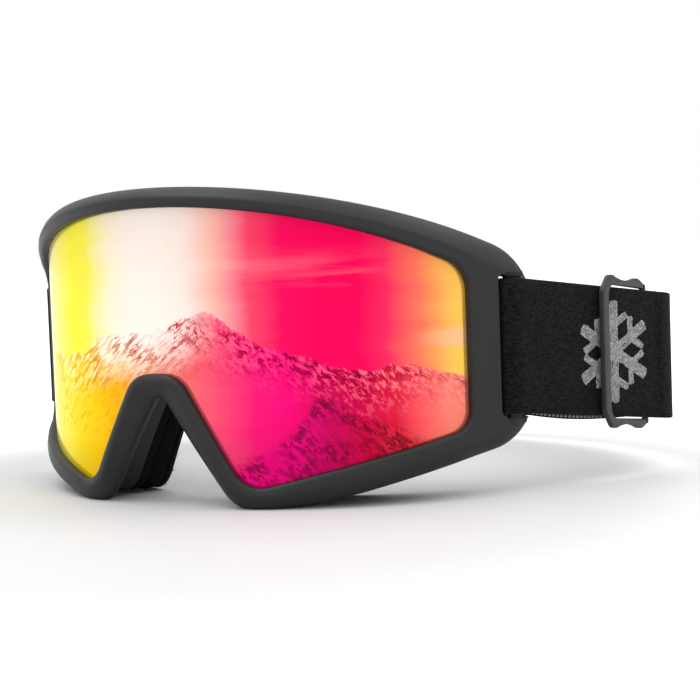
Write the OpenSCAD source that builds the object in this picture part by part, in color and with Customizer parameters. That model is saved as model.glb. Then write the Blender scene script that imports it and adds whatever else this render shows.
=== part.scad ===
// Ski goggles with a cylindrical double lens, layered face foam and an adjustable head strap.
// Millimetres. +Z is up, the lens faces -Y, and +X is the wearer's left.
// Outlines are drawn on the unrolled lens cylinder: x is the distance round it, y the height.

/* [Lens] */
// Radius of the outer lens's front face
lens_r = 90.6; // [88:0.1:94]
// Thickness of the outer lens
outer_lens_t = 1.6; // [1.2:0.1:2]
// Thickness of the inner lens
inner_lens_t = 1.0; // [0.8:0.1:1.2]
// Gap between the two lenses, filled at the rim by the gasket
lens_gap = 2.8; // [2:0.1:3]
// Width of the gasket ring between the lenses
gasket_w = 6; // [4:0.5:8]

/* [Frame] */
// Distance from the lens face out to the frame's front ridge
rim_proud = 3.1; // [2:0.1:4]
// Depth of the groove that holds the lenses
groove_d = 4.0; // [3.8:0.1:4.2]
// Radius of the rear flange at the nose
flange_r = 78; // [76:0.5:79]
// Thickness of the frame's side wall
wall_t = 2; // [1.5:0.1:2.5]
// Width of the rear flange that the foam is glued to
flange_w = 9; // [7:0.5:10]
// How far the ears at both ends stand off the lens cylinder
ear_flare = 3.8; // [2:0.1:4]

/* [Vents] */
// Number of vent windows along the top wall
top_vents = 7; // [5:2:9]
// Number of vent windows under each cheek
cheek_vents = 3; // [2:1:3]
// Length of a vent window
vent_l = 11; // [8:1:12]
// Height of a vent window
vent_h = 3; // [2:0.5:3]

/* [Face foam] */
// Thickness of the firm layer on the flange
foam_base_t = 4; // [3:0.5:5]
// Thickness of the soft layer
foam_core_t = 7; // [5:0.5:8]
// Thickness of the fleece lining
foam_fleece_t = 2.5; // [2:0.5:3]
// Width of the foam's face
foam_w = 11; // [9:0.5:12]

/* [Strap] */
// Width of the webbing
strap_w = 39.5; // [38:0.5:40]
// Thickness of the webbing
strap_t = 1.6; // [1.2:0.1:1.8]
// Angle that each side of the strap flares outwards
strap_flare = 21; // [16:1:22]
// Height of the webbing's lower edge at the outrigger bar
strap_z = 23.7; // [23.2:0.1:24]
// Length of the straight stretch from the bar to the head band
arm_l = 58; // [57:0.5:60]
// How far behind the lens axis the head band reaches
band_back = 92; // [80:1:100]
// Radius of the outrigger bar
bar_r = 2.5; // [2:0.1:2.6]

/* [Slider] */
// Length of the slider along the strap
slider_l = 27; // [26.5:0.1:27.5]
// Height of the slider
slider_h = 46.6; // [46:0.1:48]
// Thickness of the slider's plate
slider_t = 1.7; // [1.5:0.1:2]
// Width of the slider's front bar
slider_bar = 3.4; // [3:0.1:4]

/* [Hidden] */
$fn = 96;
slack = 0.1;           // gap between parts that are glued or clipped together
run_gap = 0.3;         // gap between parts that move past each other
chord_gap = 0.25;      // extra room where a faceted surface faces a round one

// Radii of the stack of lenses, from the front face inwards.
outer_back_r = lens_r - outer_lens_t;
inner_front_r = outer_back_r - lens_gap;
inner_back_r = inner_front_r - inner_lens_t;
lip_t = 1.7;           // thickness of the lip behind the inner lens
lip_back_r = inner_back_r - 2 * slack - lip_t;
lens_shy = 0.6;        // room between a lens's edge and the bottom of its groove

// Outlines: [corner points, corner radii, crown]. The corners run from the notch's top to the
// side, which is [apex, lobe, cheek, side], and the last radius is the upper side corner's.
// The crown is the arc over the top: [its height, its radius].
lens_edge = [[[7.7, 38.9], [28, 4.8], [60, 12.3], [94.5, 20.5]], [9.5, 9.5, 40, 6.5, 10],
    [87.2, 225]];
ridge = [[[6.2, 36.2], [25.4, 1.4], [60, 6.9], [111, 19.2]], [8, 13, 40, 13, 14], [90.3, 240]];
silhouette = [[[1.6, 31.6], [25.4, -2.6], [60, 3.2], [116.3, 16.2]], [2.6, 14, 60, 17, 20],
    [93.2, 288]];
wall = [[[5, 33.9], [28.4, -0.5], [60, 6.0], [101.5, 15.5]], [6.8, 13.5, 40, 14, 14], [92.6, 262]];
foam_front = [[[5, 34.3], [28.4, 0], [60, 5.2], [101, 15.5]], [6.8, 13.5, 40, 14, 14], [92, 262]];
foam_back = [[[7, 33], [29, 0.3], [66, 0.3], [109, 15.5]], [8, 13.5, 40, 18, 18], [90, 262]];

arc_steps = 6;         // pieces in each rounded corner
crown_steps = 13;      // pieces along half of the crown
edge_steps = [1, 5, 5, 6, 6, 1]; // pieces in each straight edge, from the notch's top round
crown_share = 0.84;    // the crown is sampled from this share of the side's distance inwards
flare_from = 96;       // where the ears begin to stand off the cylinder
flare_power = 1.5;     // how gradually they do
margin = 10;           // how far cutting shapes reach past what they cut
tall = 100;            // height that clears the whole frame

function unit(p, q) = (q - p) / norm(q - p);
function mix(p, q, f) = p * (1 - f) + q * f;
function outwards(p, q) = [unit(p, q).y, -unit(p, q).x];

// Height of an outline's crown at distance u from the middle.
function crown_z(crown, u) = crown.x - crown.y + sqrt(crown.y * crown.y - u * u);

// Corner b between a and c, moved outwards by d.
function miter(a, b, c, d) =
    let (n1 = outwards(a, b), n2 = outwards(b, c))
    b + (n1 + n2) * d / (1 + n1 * n2);

// The upper side corner of an outline.
function high_corner(o) = [o[0][3].x, crown_z(o[2], o[0][3].x)];

// The outline o with its edge moved outwards by d.
function grow(o, d) =
    let (
        p = o[0],
        v = concat([[0, p[0].y]], p, [high_corner(o)]),
        moved = [for (i = [1:4]) miter(v[i - 1], v[i], v[i + 1], d)]
    )
    [moved, o[1] + [-1, 1, 0, 1, 1] * d, o[2] + [1, 1] * d];

// Points of the arc of radius r that rounds corner b.
function rounded(a, b, c, r) =
    let (
        ua = unit(b, a),
        uc = unit(b, c),
        half = acos(ua * uc) / 2,
        centre = b + (ua + uc) / norm(ua + uc) * r / sin(half),
        p = b + ua * r / tan(half) - centre,
        q = b + uc * r / tan(half) - centre,
        start = atan2(p.y, p.x),
        turn = (atan2(q.y, q.x) - start + 540) % 360 - 180
    )
    [for (i = [0:arc_steps]) centre + r * [cos(start + turn * i / arc_steps),
        sin(start + turn * i / arc_steps)]];

// Points between p and q, without p and q, when the edge is cut into n pieces.
function between(p, q, n) = [for (i = [1:1:n - 1]) mix(p, q, i / n)];

// Right half of an outline, from the middle of the notch to the middle of the crown.
function half_outline(o) =
    let (
        side_u = o[0][3].x,
        reach = side_u * crown_share,
        v = concat([[0, o[0][0].y]], o[0], [high_corner(o)], [[reach, crown_z(o[2], reach)]]),
        arcs = [for (i = [1:5]) rounded(v[i - 1], v[i], v[i + 1], o[1][i - 1])],
        stops = concat([v[0]], [for (a = arcs) a[arc_steps]]),
        starts = concat([for (a = arcs) a[0]], [v[6]])
    )
    concat(
        [v[0]],
        [for (i = [0:4]) each concat(between(stops[i], starts[i], edge_steps[i]), arcs[i])],
        between(stops[5], starts[5], edge_steps[5]),
        [for (i = [0:crown_steps]) let (u = reach * (1 - i / crown_steps)) [u, crown_z(o[2], u)]]
    );

// The whole closed outline.
function outline(o) =
    let (h = half_outline(o), n = len(h))
    concat(h, [for (i = [n - 2:-1:1]) [-h[i].x, h[i].y]]);

// How far the ears stand off the cylinder at distance u.
function flare(u) =
    ear_flare * pow(max(0, abs(u) - flare_from) / (silhouette[0][3].x - flare_from), flare_power);

// The lens axis stands a little behind the middle of the whole object along Y.
front_r = lens_r + rim_proud;
axis_y = (front_r - band_back - strap_t / 2) / 2;

function turn_at(u) = u / lens_r * 180 / PI;
function on_cylinder(u, z, r) = [r * sin(turn_at(u)), axis_y - r * cos(turn_at(u)), z];

// Solid swept round the rim. Each ring is [outline, radius, radius gained towards the sides].
module loft(rings) {
    loops = [for (ring = rings) outline(ring[0])];
    n = len(loops[0]);
    m = len(rings);
    points = [for (j = [0:m - 1]) for (p = loops[j])
        on_cylinder(p.x, p.y, rings[j][1] + rings[j][2] * pow(p.x / 100, 2) + flare(p.x))];
    // The last strip is cut along the other diagonal, so that it lies flat against the layer in
    // front of it.
    faces = [for (j = [0:m - 1]) for (i = [0:n - 1])
        let (k = (j + 1) % m, l = (i + 1) % n, a = j * n + i, b = j * n + l, c = k * n + l,
            d = k * n + i)
        each j == m - 1 ? [[a, b, d], [b, c, d]] : [[a, b, c], [a, c, d]]];
    polyhedron(points, faces);
}

lens_fn = 180;         // facets round each lens face

// Cylindrical shell between two radii, cut to an outline.
module lens_sheet(o, r_out, r_in) {
    edge = [for (p = outline(o)) [r_in * sin(turn_at(p.x)), p.y]];
    intersection() {
        translate([0, axis_y, 0])
            difference() {
                cylinder(r = r_out, h = tall, $fn = lens_fn);
                translate([0, 0, -margin])
                    cylinder(r = r_in, h = tall + 2 * margin, $fn = lens_fn);
            }
        translate([0, axis_y, 0])
            rotate([90, 0, 0])
                linear_extrude(r_out + margin)
                    polygon(edge);
    }
}

module outer_lens() {
    color("crimson")
        lens_sheet(grow(lens_edge, groove_d - lens_shy), lens_r, outer_back_r);
}

module inner_lens() {
    color("lightgray")
        lens_sheet(grow(lens_edge, groove_d - lens_shy), inner_front_r, inner_back_r);
}

module lens_gasket() {
    outer = grow(lens_edge, groove_d - 1);
    inner = grow(lens_edge, groove_d - 1 - gasket_w);
    low = inner_front_r + slack + chord_gap;
    high = outer_back_r - slack;
    color("dimgray")
        loft([[outer, low, 0], [outer, high, 0], [inner, high, 0], [inner, low, 0]]);
}

// Outrigger bar: where it stands, and the slot that the webbing passes through.
bar_u = 109;
bar_centre_r = 93.6;
slot_front_u = 103.4;  // the slot's front edge
slot_z = [22.2, 64.6]; // the slot's lower edge, and its upper edge at the front
slot_fall = 0.13;      // the upper edge's fall per millimetre, towards the webbing's corner
bar = [bar_centre_r * sin(turn_at(bar_u)), axis_y - bar_centre_r * cos(turn_at(bar_u))];
rim_back_r = 87;       // back of the thick rim, where the thinner wall begins
wall_gain = 3;         // the flange sits this much further out at the sides
flange_t = 1.5;        // thickness of the rear flange
lip_w = 1.6;           // how far the lip reaches past the lens opening
vent_foam_w = 3.2;     // thickness of the foam under the vents
round_w = 0.8;         // width of the softened edge round the lens opening
chamfer_d = 2.8;       // depth of the chamfer from the ridge to the outer edge

module frame_body() {
    groove = grow(lens_edge, groove_d);
    lip = grow(lens_edge, -lip_w);
    pocket = grow(wall, -wall_t);
    inner_edge = grow(wall, -flange_w);
    lens_face = lens_r + slack + chord_gap;
    loft([
        [lens_edge, lens_face, 0],
        [lens_edge, front_r - round_w - 0.3, 0],
        [grow(lens_edge, round_w), front_r - 0.4, 0],
        [ridge, front_r, 0],
        [grow(silhouette, -0.5), front_r - chamfer_d, 0],
        [silhouette, front_r - chamfer_d - 1.1, 0],
        [grow(silhouette, -0.4), rim_back_r + 0.4, 0],
        [wall, rim_back_r - 0.4, 0],
        [wall, flange_r, wall_gain],
        [inner_edge, flange_r, wall_gain],
        [inner_edge, flange_r + flange_t, wall_gain],
        [pocket, flange_r + flange_t, wall_gain],
        [pocket, lip_back_r, 0],
        [lip, lip_back_r, 0],
        [lip, lip_back_r + lip_t, 0],
        [groove, lip_back_r + lip_t, 0],
        [groove, lens_face, 0]
    ]);
}

// Box on the cylinder that cuts a window through the wall, at distance u.
module window(u, z_low, z_high) {
    behind_lip = 0.3;
    translate([0, axis_y, z_low])
        rotate([0, 0, turn_at(u)])
            translate([-vent_l / 2, behind_lip - lip_back_r, 0])
                cube([vent_l, vent_h, z_high - z_low]);
}

// Opening behind the slot's front edge, which leaves the ears above and below it.
module strap_slot() {
    reach = 30;
    inner_r = 84;
    for (side = [-1, 1])
        scale([side, 1, 1])
            translate([0, axis_y, 0])
                rotate([0, 0, turn_at(slot_front_u)])
                    translate([0, -inner_r, 0])
                        rotate([90, 0, 0])
                            linear_extrude(front_r + margin - inner_r)
                                polygon([[0, slot_z[0]], [reach, slot_z[0]],
                                    [reach, slot_z[1] - slot_fall * reach], [0, slot_z[1]]]);
}

module frame() {
    top_pitch = 15;
    top_z = [72, 100];   // heights between which the top windows are cut
    cheek_u = 46;        // distance to the first cheek window
    cheek_pitch = 14;
    cheek_z = [-5, 22];
    sunk = 1;            // how far the bars run into the ears
    color("#3b3b3c")
        intersection() {
            union() {
                difference() {
                    frame_body();
                    strap_slot();
                    for (i = [0:top_vents - 1])
                        window((i - (top_vents - 1) / 2) * top_pitch, top_z[0], top_z[1]);
                    for (side = [-1, 1])
                        for (i = [0:cheek_vents - 1])
                            window(side * (cheek_u + i * cheek_pitch), cheek_z[0], cheek_z[1]);
                }
                for (side = [-1, 1])
                    translate([side * bar.x, bar.y, slot_z[0] - sunk])
                        cylinder(r = bar_r, h = slot_z[1] - slot_z[0] + 2 * sunk);
            }
            translate([-2 * tall, -2 * tall, 0])
                cube(4 * tall);
        }
}

// Strip of open foam that lies in the wall's pocket, under the vent windows.
module vent_foam() {
    outer = grow(wall, -wall_t - 2 * slack);
    inner = grow(wall, -wall_t - vent_foam_w);
    low = flange_r + flange_t + chord_gap + slack;
    high = lip_back_r - chord_gap - slack;
    loft([[inner, low, wall_gain], [inner, high, 0], [outer, high, 0], [outer, low, wall_gain]]);
}

// The part of that strip between two distances x and two heights z.
module vent_foam_part(x, z) {
    color("#2a2a2a")
        intersection() {
            vent_foam();
            translate([x[0], axis_y - tall, z[0]])
                cube([x[1] - x[0], tall, z[1] - z[0]]);
        }
}

module vent_foam_top() {
    vent_foam_part([-58, 58], [70, tall]);
}

module vent_foam_cheek() {
    vent_foam_part([32, 68], [0, 26]);
}

foam_gain = 9;         // the face side of the foam sits this much further out at the sides
foam_t = foam_base_t + foam_core_t + foam_fleece_t;

// One layer of the face foam, between two depths behind the flange.
module foam_layer(depth_1, depth_2) {
    outer_1 = mix(foam_front, foam_back, depth_1 / foam_t);
    outer_2 = mix(foam_front, foam_back, depth_2 / foam_t);
    gain_1 = mix(wall_gain, foam_gain, depth_1 / foam_t);
    gain_2 = mix(wall_gain, foam_gain, depth_2 / foam_t);
    inner_1 = grow(outer_1, -foam_w);
    inner_2 = grow(outer_2, -foam_w);
    loft([[outer_1, flange_r - depth_1, gain_1], [outer_2, flange_r - depth_2, gain_2],
        [inner_2, flange_r - depth_2, gain_2], [inner_1, flange_r - depth_1, gain_1]]);
}

module foam_base() {
    color("#1d1d1e")
        foam_layer(slack, foam_base_t);
}

module foam_core() {
    color("#262627")
        foam_layer(foam_base_t + slack, foam_base_t + foam_core_t);
}

module foam_fleece() {
    color("#101011")
        foam_layer(foam_base_t + foam_core_t + slack, foam_t);
}

// The strap's arm: s runs back along the webbing from the bar, t outwards across it.
along = [sin(strap_flare), cos(strap_flare)];
across = [cos(strap_flare), -sin(strap_flare)];
function arm_point(s, t) = bar + along * s + across * t;

wrap_r = bar_r + run_gap + strap_t / 2;      // middle of the webbing round the bar
droop = 0.114;         // the webbing's fall per millimetre along the arm
band_start = arm_point(arm_l, wrap_r);
band_start_z = strap_z - droop * arm_l;

// Closed band of webbing through points [x, y], with its lower edge at heights z.
module band(path, z, width, thick) {
    n = len(path);
    sides = [for (i = [0:n - 1])
        outwards(path[max(0, i - 1)], path[min(n - 1, i + 1)]) * thick / 2];
    points = [for (i = [0:n - 1]) each [
        [path[i].x + sides[i].x, path[i].y + sides[i].y, z[i]],
        [path[i].x - sides[i].x, path[i].y - sides[i].y, z[i]],
        [path[i].x - sides[i].x, path[i].y - sides[i].y, z[i] + width],
        [path[i].x + sides[i].x, path[i].y + sides[i].y, z[i] + width]]];
    skin = [for (i = [0:n - 2]) for (j = [0:3])
        let (k = (j + 1) % 4, a = 4 * i, b = 4 * i + 4)
        each [[a + j, b + k, a + k], [a + j, b + j, b + k]]];
    polyhedron(points, concat([[0, 1, 2], [0, 2, 3]], skin,
        [[4 * n - 4, 4 * n - 2, 4 * n - 3], [4 * n - 4, 4 * n - 1, 4 * n - 2]]));
}

// Heights of a band's lower edge at distances s along the arm.
function arm_z(s, lift) = [for (d = s) strap_z + lift - droop * d];

// Copies children to the wearer's left or right side.
module on_side(left) {
    if (left)
        children();
    else
        mirror([1, 0, 0])
            children();
}

module strap_outer() {
    wrap = [for (a = [180:-20:0]) [-wrap_r * sin(a), wrap_r * cos(a)]];
    run = [for (s = [16:14:arm_l]) [s, wrap_r]];
    path = concat(wrap, run);
    color("#1b1b1c")
        band([for (p = path) arm_point(p.x, p.y)], arm_z([for (p = path) max(0, p.x)], 0),
            strap_w, strap_t);
}

// The slider's plate lies at a slant: its front bar is outside the webbing, its rear bar inside.
rear_bar_r = 1.05;
rear_bar = [54.65, -0.2];   // its middle on the arm
front_bar_rise = 1.97;      // from the webbing's outer face to the front bar's middle
front_bar_t = wrap_r + strap_t / 2 + front_bar_rise;
bar_pitch = slider_l - slider_bar / 2 - rear_bar_r;
slant = asin((front_bar_t - rear_bar.y) / bar_pitch);
front_bar = [rear_bar.x - bar_pitch * cos(slant), front_bar_t];
fold_r = rear_bar_r + slack + strap_t / 2;

// The webbing's end: it runs inside the outer layer, round the slider's rear bar and back.
sewn_s = 41.2;         // where the end is sewn down
return_path = concat(
    [[0.6, -wrap_r], [14, -2.3], [27, -0.9], [sewn_s, 0.55], [49.2, 1.3]],
    [for (a = [90:-30:-90]) rear_bar + fold_r * [cos(a), sin(a)]],
    [[48.2, -1.75], [44.2, -0.95], [sewn_s - 2, -1.2]]
);
sag = 1.5;             // the returning layer hangs this much lower between bar and slider
sag_l = 46;            // and is level with the outer layer again here
function return_sag(s) = s < sag_l ? -sag * sin(180 * s / sag_l) : 0;
function return_z(lift) = [for (p = return_path) strap_z + lift + return_sag(p.x) - droop * p.x];

module strap_return() {
    color("#1b1b1c")
        band([for (p = return_path) arm_point(p.x, p.y)], return_z(0), strap_w, strap_t);
}

// Printed silicone line on the outward face of the returning layer.
grip_t = 0.4;
grip_w = 2.5;
grip_lift = strap_t / 2 + grip_t / 2 + 0.02;
module grip_return() {
    margin_w = 0.6;
    path = [for (i = [1:3]) return_path[i] + [0, grip_lift]];
    color("#6f6f70")
        for (edge = [margin_w, strap_w - grip_w - margin_w])
            band([for (p = path) arm_point(p.x, p.y)],
                [for (i = [1:3]) return_z(edge)[i]], grip_w, grip_t);
}

// Middle line of the head band, from the left arm's end to the middle of the back.
band_bend = [111.8, 25.6 + axis_y];
band_turn = 21;        // angle that the band has turned inwards there
function bezier(p, f) =
    p[0] * pow(1 - f, 3) + p[1] * 3 * f * pow(1 - f, 2) + p[2] * 3 * f * f * (1 - f) + p[3] * pow(f, 3);
turned = [-sin(band_turn), cos(band_turn)];
bend_reach = 2.4;      // how tightly the band bends at the arm's end
back_reach = [45, 48]; // how full its curve is behind that, and at the back
bend_curve = [band_start, band_start + along * bend_reach, band_bend - turned * bend_reach,
    band_bend];
back_curve = [band_bend, band_bend + turned * back_reach[0],
    [back_reach[1], band_back + axis_y], [0, band_back + axis_y]];
bend_steps = 4;
back_steps = 18;
start_gap = 0.04;      // the band starts this share of the bend behind the arm's webbing
half_band = concat(
    [for (i = [0:bend_steps - 1]) bezier(bend_curve, start_gap + i * (1 - start_gap) / bend_steps)],
    [for (i = [0:back_steps]) bezier(back_curve, i / back_steps)]
);
function length_to(path, i) = i == 0 ? 0 : norm(path[i] - path[i - 1]) + length_to(path, i - 1);
half_band_l = length_to(half_band, len(half_band) - 1);

// The band's lower edge falls gently round the sides, and the slack middle of the back sags to
// the table.
side_fall = [-0.104, 0.00027];
sag_from = 112;        // distance along the half band where the middle begins to sag
function ease(f) = let (c = min(1, max(0, f))) c * c * (3 - 2 * c);
half_band_z = [for (i = [0:len(half_band) - 1])
    let (l = length_to(half_band, i))
    (band_start_z + side_fall[0] * l + side_fall[1] * l * l)
        * (1 - ease((l - sag_from) / (half_band_l - sag_from)))];
last = len(half_band) - 1;
whole_band = concat(half_band, [for (i = [last - 1:-1:0]) [-half_band[i].x, half_band[i].y]]);
whole_band_z = concat(half_band_z, [for (i = [last - 1:-1:0]) half_band_z[i]]);

module strap_rear() {
    color("#1b1b1c")
        band(whole_band, whole_band_z, strap_w, strap_t);
}

// Silicone lines on the inside of the head band.
module grip_rear() {
    first = 10;
    picked = [first:len(whole_band) - 1 - first];
    path = [for (i = picked)
        whole_band[i] - outwards(whole_band[i - 1], whole_band[i + 1]) * grip_lift];
    color("#6f6f70")
        for (edge = [5, 18.5, 32])
            band(path, [for (i = picked) whole_band_z[i] + edge], grip_w, grip_t);
}

// Slider plate in its own plane: x runs from the front bar to the rear bar, y upwards. Its long
// edges follow the webbing's fall and are scalloped. The rear bar closes the window's open end.
scallop_r = 20;
scallop_d = 1.2;
chamfer = [4.2, 5];
window_r = 3.5;        // radius of the window's front corners
window_play = 0.5;     // room above and below the webbing
lean = droop * cos(slant);
function leaning(points) = [for (p = points) [p.x, p.y - lean * p.x]];
function arc(centre, r, from, to) =
    let (steps = 8)
    [for (i = [0:steps]) let (a = mix(from, to, i / steps)) centre + r * [cos(a), sin(a)]];

module slider_outline() {
    x1 = slider_l / 2;
    y1 = slider_h / 2;
    half = asin(sqrt(2 * scallop_r * scallop_d - pow(scallop_d, 2)) / scallop_r);
    top = concat([[-x1, y1 - chamfer.y], [-x1 + chamfer.x, y1]],
        arc([0, y1 - scallop_d + scallop_r], scallop_r, -90 - half, -90 + half),
        [[x1 - chamfer.x, y1], [x1, y1 - chamfer.y]]);
    polygon(leaning(concat(top, [for (i = [len(top) - 1:-1:0]) [top[i].x, -top[i].y]])));
}

module slider_window() {
    x0 = -slider_l / 2 + slider_bar + window_r;
    x1 = slider_l / 2 + margin;
    y1 = strap_w / 2 + window_play;
    polygon(leaning(concat([[x1, -y1], [x1, y1]], arc([x0, y1 - window_r], window_r, 90, 180),
        arc([x0, window_r - y1], window_r, 180, 270))));
}

// Where the middle of the slider stands on the arm.
slider_at = mix(front_bar, rear_bar, 0.5)
    + [cos(slant), -sin(slant)] * (rear_bar_r - slider_bar / 2) / 2;
slider_z = strap_z + strap_w / 2 - droop * slider_at.x;

// Puts children, which are drawn with x back along the arm and y outwards, on the arm.
module on_arm(s, t, z) {
    place = arm_point(s, t);
    translate([place.x, place.y, z])
        rotate([0, 0, 90 - strap_flare])
            mirror([0, 1, 0])
                children();
}

module slider() {
    rear_z = slider_z - lean * (slider_l / 2 - rear_bar_r);
    rear_h = strap_w + 4;
    color("#5c5c5e")
        union() {
            on_arm(slider_at.x, slider_at.y, slider_z)
                rotate([0, 0, -slant])
                    translate([0, slider_t / 2, 0])
                        rotate([90, 0, 0])
                            linear_extrude(slider_t)
                                difference() {
                                    slider_outline();
                                    slider_window();
                                }
            on_arm(rear_bar.x, rear_bar.y, rear_z - rear_h / 2)
                cylinder(r = rear_bar_r, h = rear_h, $fn = 32);
        }
}

// Rows of thread that close the webbing's end round the slider.
module sewn_end() {
    row_h = 34;
    thread = [0.7, 0.4];
    row_pitch = 1.6;
    first_s = sewn_s - 1;
    end_t = -1.25;       // middle of the sewn end; it leans outwards a little from row to row
    step_t = 0.05;
    color("#2c2c2e")
        for (i = [0:2])
            on_arm(first_s + row_pitch * i, end_t - strap_t / 2 - thread.y / 2 + step_t * i,
                strap_z + strap_w / 2 - droop * sewn_s - row_h / 2)
                translate([-thread.x / 2, -thread.y / 2, 0])
                    cube([thread.x, thread.y, row_h]);
}

// Embroidered snowflake, flat on the outer layer.
emblem_r = 16;
emblem_t = 0.35;
emblem_s = 37;
module emblem() {
    arm_w = 3.2;
    barb = [7, 2.4];
    lift = 0.02;
    color("#a9a9aa")
        on_arm(emblem_s, wrap_r + strap_t / 2 + lift + emblem_t,
            strap_z + strap_w / 2 - droop * emblem_s)
            rotate([90, 0, 0])
                linear_extrude(emblem_t)
                    for (a = [0:60:300])
                        rotate(a) {
                            translate([0, -arm_w / 2])
                                square([emblem_r, arm_w]);
                            for (side = [-1, 1])
                                translate([emblem_r * 0.5, 0])
                                    rotate(side * 60)
                                        translate([0, -barb.y / 2])
                                            square(barb);
                        }
}

frame();
outer_lens();
lens_gasket();
inner_lens();
vent_foam_top();
on_side(true) vent_foam_cheek();  // vent_foam_cheek_left
on_side(false) vent_foam_cheek();  // vent_foam_cheek_right
foam_base();
foam_core();
foam_fleece();
on_side(true) strap_outer();  // strap_outer_left
on_side(false) strap_outer();  // strap_outer_right
on_side(true) strap_return();  // strap_return_left
on_side(false) strap_return();  // strap_return_right
strap_rear();
on_side(true) slider();  // slider_left
on_side(false) slider();  // slider_right
on_side(true) sewn_end();  // sewn_end_left
on_side(false) sewn_end();  // sewn_end_right
on_side(true) emblem();  // emblem_left
on_side(false) emblem();  // emblem_right
on_side(true) grip_return();  // grip_return_left
on_side(false) grip_return();  // grip_return_right
grip_rear();
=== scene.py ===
"""Ski goggles: the visible pieces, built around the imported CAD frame.

Shapes are worked out in millimetres, mostly on the unrolled lens cylinder: u is the distance round
it, z the height and r the radius. They turn into metres when a mesh is made.
"""
import math

import bmesh
import bpy
import numpy as np
from mathutils import Matrix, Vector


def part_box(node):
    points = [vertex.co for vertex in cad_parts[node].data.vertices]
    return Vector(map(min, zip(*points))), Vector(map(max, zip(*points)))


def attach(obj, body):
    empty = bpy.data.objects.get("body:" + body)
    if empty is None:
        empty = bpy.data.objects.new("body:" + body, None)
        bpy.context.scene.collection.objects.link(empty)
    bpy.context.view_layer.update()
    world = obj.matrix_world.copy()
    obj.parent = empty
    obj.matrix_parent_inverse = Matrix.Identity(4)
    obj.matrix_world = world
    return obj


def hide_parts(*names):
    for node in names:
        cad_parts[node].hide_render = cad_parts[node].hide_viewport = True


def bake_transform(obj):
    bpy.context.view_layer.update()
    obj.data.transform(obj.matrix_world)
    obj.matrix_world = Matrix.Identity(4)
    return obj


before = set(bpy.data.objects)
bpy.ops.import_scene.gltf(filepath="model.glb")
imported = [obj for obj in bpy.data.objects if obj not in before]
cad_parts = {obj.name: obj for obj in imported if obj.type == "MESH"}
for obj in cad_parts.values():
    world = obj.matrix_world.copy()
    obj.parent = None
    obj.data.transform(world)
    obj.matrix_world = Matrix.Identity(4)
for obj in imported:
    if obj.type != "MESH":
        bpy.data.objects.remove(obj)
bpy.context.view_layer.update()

MM = 0.001
SIDES = (("left", 1), ("right", -1))

# ---- sizes shared with the CAD model
LENS_R = 90.6
LENS_T = 1.6
LENS_GAP = 2.8
INNER_LENS_T = 1.0
OUTER_BACK_R = LENS_R - LENS_T
INNER_FRONT_R = OUTER_BACK_R - LENS_GAP
INNER_BACK_R = INNER_FRONT_R - INNER_LENS_T
RIM_PROUD = 3.1
FRONT_R = LENS_R + RIM_PROUD
LIP_T = 1.7
LIP_BACK_R = INNER_BACK_R - 0.2 - LIP_T
GROOVE_D = 4.0
RIM_BACK_R = 87
FLANGE_R = 78
FLANGE_T = 1.5
FLANGE_W = 9
WALL_T = 2
WALL_GAIN = 3
EAR_FLARE = 3.8
FLARE_FROM = 96
FOAM_LAYERS = (4, 7, 2.5)
FOAM_W = 11
FOAM_GAIN = 9
STRAP_W = 39.5
STRAP_T = 1.6
STRAP_FLARE = math.radians(21)
STRAP_Z = 23.7
ARM_L = 58
BAND_BACK = 92
BAR_R = 2.5
BAR_U = 109
BAR_CENTRE_R = 93.6
SLOT_FRONT_U = 103.4
SLOT_Z = (22.2, 64.6)
SLOT_FALL = 0.13
WRAP_R = BAR_R + 0.3 + STRAP_T / 2
DROOP = 0.114
SLIDER_L = 27
SLIDER_H = 46.6
SLIDER_T = 1.7
SLIDER_BAR = 3.4
REAR_BAR_R = 1.05
REAR_BAR = np.array([54.65, -0.2])
FRONT_BAR_T = WRAP_R + STRAP_T / 2 + 1.97
FOLD_R = REAR_BAR_R + 0.1 + STRAP_T / 2
SEWN_S = 41.2
EMBLEM_R = 16
EMBLEM_S = 37
AXIS_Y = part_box("outer_lens")[0].y / MM + LENS_R


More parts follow.
